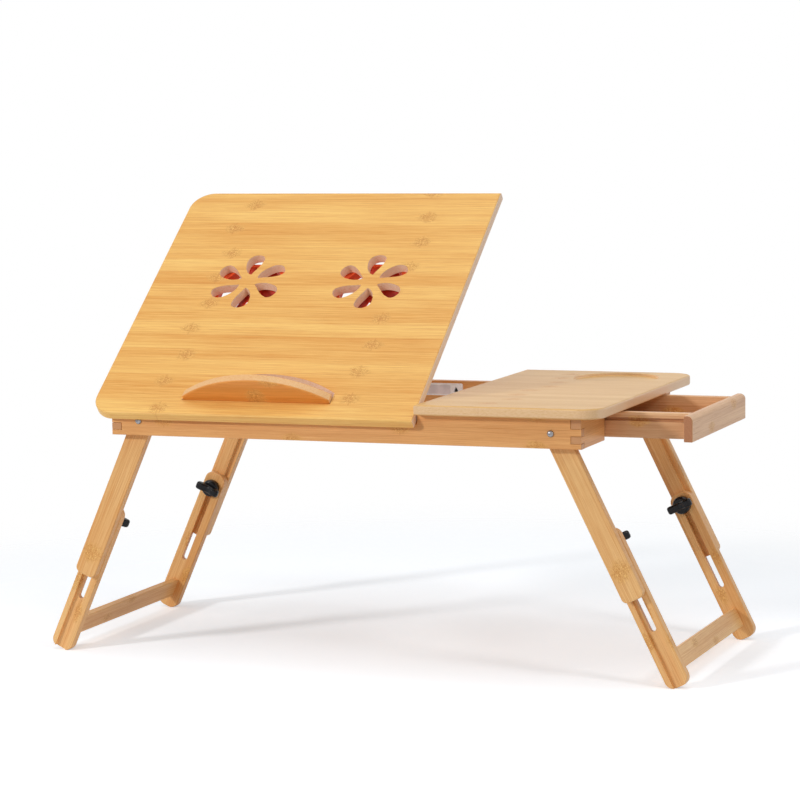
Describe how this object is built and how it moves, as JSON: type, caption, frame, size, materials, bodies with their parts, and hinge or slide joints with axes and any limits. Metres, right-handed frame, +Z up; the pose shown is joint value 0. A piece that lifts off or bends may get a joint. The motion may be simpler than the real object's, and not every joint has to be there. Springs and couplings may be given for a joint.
{
  "type": "laptop bed table",
  "caption": "Folding bamboo laptop bed table with a tilting vented top, fixed side shelf, slide-out side drawer and telescoping legs.",
  "frame": {"origin": "centre of the part's box at floor level, under the middle of the table", "axes": "+X to the drawer end, +Y from the user to the back rail, +Z up"},
  "size_m": [0.696, 0.351, 0.4727],
  "materials": {
    "bamboo_panel": "satin lacquered honey bamboo, edge-laid strips",
    "bamboo_frame": "satin lacquered bamboo, a little darker, with finger joints",
    "bamboo_leg": "satin lacquered bamboo slats",
    "bamboo_drawer": "satin lacquered bamboo",
    "steel": "bright zinc plated",
    "hinge_brass": "satin",
    "black_plastic": "moulded, half gloss",
    "red_plastic": "moulded, half gloss",
    "white_plastic": "moulded, fine satin"
  },
  "bodies": {
    "frame": {"front_apron": "bamboo_frame", "back_rail": "bamboo_frame", "left_end_rail": "bamboo_frame", "right_end_front": "bamboo_frame", "right_end_back": "bamboo_frame", "side_panel": "bamboo_panel", "middle_divider": "bamboo_frame", "front_drawer_runner": "bamboo_frame", "back_drawer_runner": "bamboo_frame", "control_plate": "white_plastic", "left_apron_leaf": "hinge_brass", "right_apron_leaf": "hinge_brass", "stay_screw": "steel", "left_front_pivot_bolt": "steel", "left_back_pivot_bolt": "steel", "right_front_pivot_bolt": "steel", "right_back_pivot_bolt": "steel", "left_front_pivot_nut": "steel", "left_back_pivot_nut": "steel", "right_front_pivot_nut": "steel", "right_back_pivot_nut": "steel"},
    "panel": {"tilt_panel": "bamboo_panel", "left_panel_leaf": "hinge_brass", "right_panel_leaf": "hinge_brass", "left_hinge_pin": "steel", "right_hinge_pin": "steel", "left_stopper_pin": "steel", "right_stopper_pin": "steel", "left_fan_housing": "white_plastic", "right_fan_housing": "white_plastic", "catch_strip": "bamboo_leg"},
    "left_rotor": {"left_fan_rotor": "red_plastic"},
    "right_rotor": {"right_fan_rotor": "red_plastic"},
    "stopper": {"stopper": "bamboo_panel"},
    "stay": {"tilt_stay": "bamboo_leg"},
    "drawer": {"drawer_side_front": "bamboo_drawer", "drawer_side_back": "bamboo_drawer", "drawer_back_board": "bamboo_drawer", "drawer_bottom": "bamboo_drawer", "drawer_front_board": "bamboo_drawer"},
    "left_legs": {"left_front_upper_leg": "bamboo_leg", "left_back_upper_leg": "bamboo_leg", "left_front_clamp_stud": "steel", "left_back_clamp_stud": "steel"},
    "left_feet": {"left_front_lower_leg": "bamboo_leg", "left_back_lower_leg": "bamboo_leg", "left_stretcher": "bamboo_leg"},
    "left_front_knob": {"left_front_wing_knob": "black_plastic"},
    "left_back_knob": {"left_back_wing_knob": "black_plastic"},
    "right_legs": {"right_front_upper_leg": "bamboo_leg", "right_back_upper_leg": "bamboo_leg", "right_front_clamp_stud": "steel", "right_back_clamp_stud": "steel"},
    "right_feet": {"right_front_lower_leg": "bamboo_leg", "right_back_lower_leg": "bamboo_leg", "right_stretcher": "bamboo_leg"},
    "right_front_knob": {"right_front_wing_knob": "black_plastic"},
    "right_back_knob": {"right_back_wing_knob": "black_plastic"}
  },
  "joints": [
    {"name": "panel_tilt", "type": "hinge", "parent": "frame", "child": "panel", "pos_m": [0, -0.15126, 0.26616], "axis": [-1, 0, 0], "range_deg": [0, 37.5]},
    {"name": "stay_swing", "type": "hinge", "parent": "frame", "child": "stay", "pos_m": [-0.24552, -0.10396, 0.25601], "axis": [-1, 0, 0], "range_deg": [0, 48.71]},
    {"name": "stopper_flip", "type": "hinge", "parent": "panel", "child": "stopper", "pos_m": [-0.09852, -0.15133, 0.27291], "axis": [-1, 0, 0], "range_deg": [0, 90]},
    {"name": "left_rotor_spin", "type": "hinge", "parent": "panel", "child": "left_rotor", "pos_m": [-0.16835, -0.00277, 0.37046], "axis": [0, -0.6088, 0.7934], "continuous": true},
    {"name": "right_rotor_spin", "type": "hinge", "parent": "panel", "child": "right_rotor", "pos_m": [-0.02935, -0.00118, 0.37168], "axis": [0, -0.6088, 0.7934], "continuous": true},
    {"name": "drawer_slide", "type": "slide", "parent": "frame", "child": "drawer", "axis": [-1, 0, 0], "range_m": [-0.03, 0.087]},
    {"name": "left_fold", "type": "hinge", "parent": "frame", "child": "left_legs", "pos_m": [-0.22898, 0, 0.25101], "axis": [0, -1, 0], "range_deg": [0, 114]},
    {"name": "right_fold", "type": "hinge", "parent": "frame", "child": "right_legs", "pos_m": [0.21729, 0, 0.25101], "axis": [0, 1, 0], "range_deg": [0, 116.3]},
    {"name": "left_height", "type": "slide", "parent": "left_legs", "child": "left_feet", "axis": [0.4067, 0, 0.9135], "range_m": [0, 0.085]},
    {"name": "right_height", "type": "slide", "parent": "right_legs", "child": "right_feet", "axis": [-0.4431, 0, 0.8965], "range_m": [0, 0.09]},
    {"name": "left_front_knob_turn", "type": "hinge", "parent": "left_legs", "child": "left_front_knob", "pos_m": [-0.27828, -0.13156, 0.14029], "axis": [0, 1, 0], "range_deg": [0, 180]},
    {"name": "left_back_knob_turn", "type": "hinge", "parent": "left_legs", "child": "left_back_knob", "pos_m": [-0.27828, 0.11864, 0.14029], "axis": [0, -1, 0], "range_deg": [0, 180]},
    {"name": "right_front_knob_turn", "type": "hinge", "parent": "right_legs", "child": "right_front_knob", "pos_m": [0.27099, -0.13156, 0.14236], "axis": [0, 1, 0], "range_deg": [0, 180]},
    {"name": "right_back_knob_turn", "type": "hinge", "parent": "right_legs", "child": "right_back_knob", "pos_m": [0.27099, 0.11864, 0.14236], "axis": [0, -1, 0], "range_deg": [0, 180]}
  ],
  "couplings": [
    {"joint": "stay_swing", "follows": "panel_tilt", "ratio": 1.2987}
  ]
}
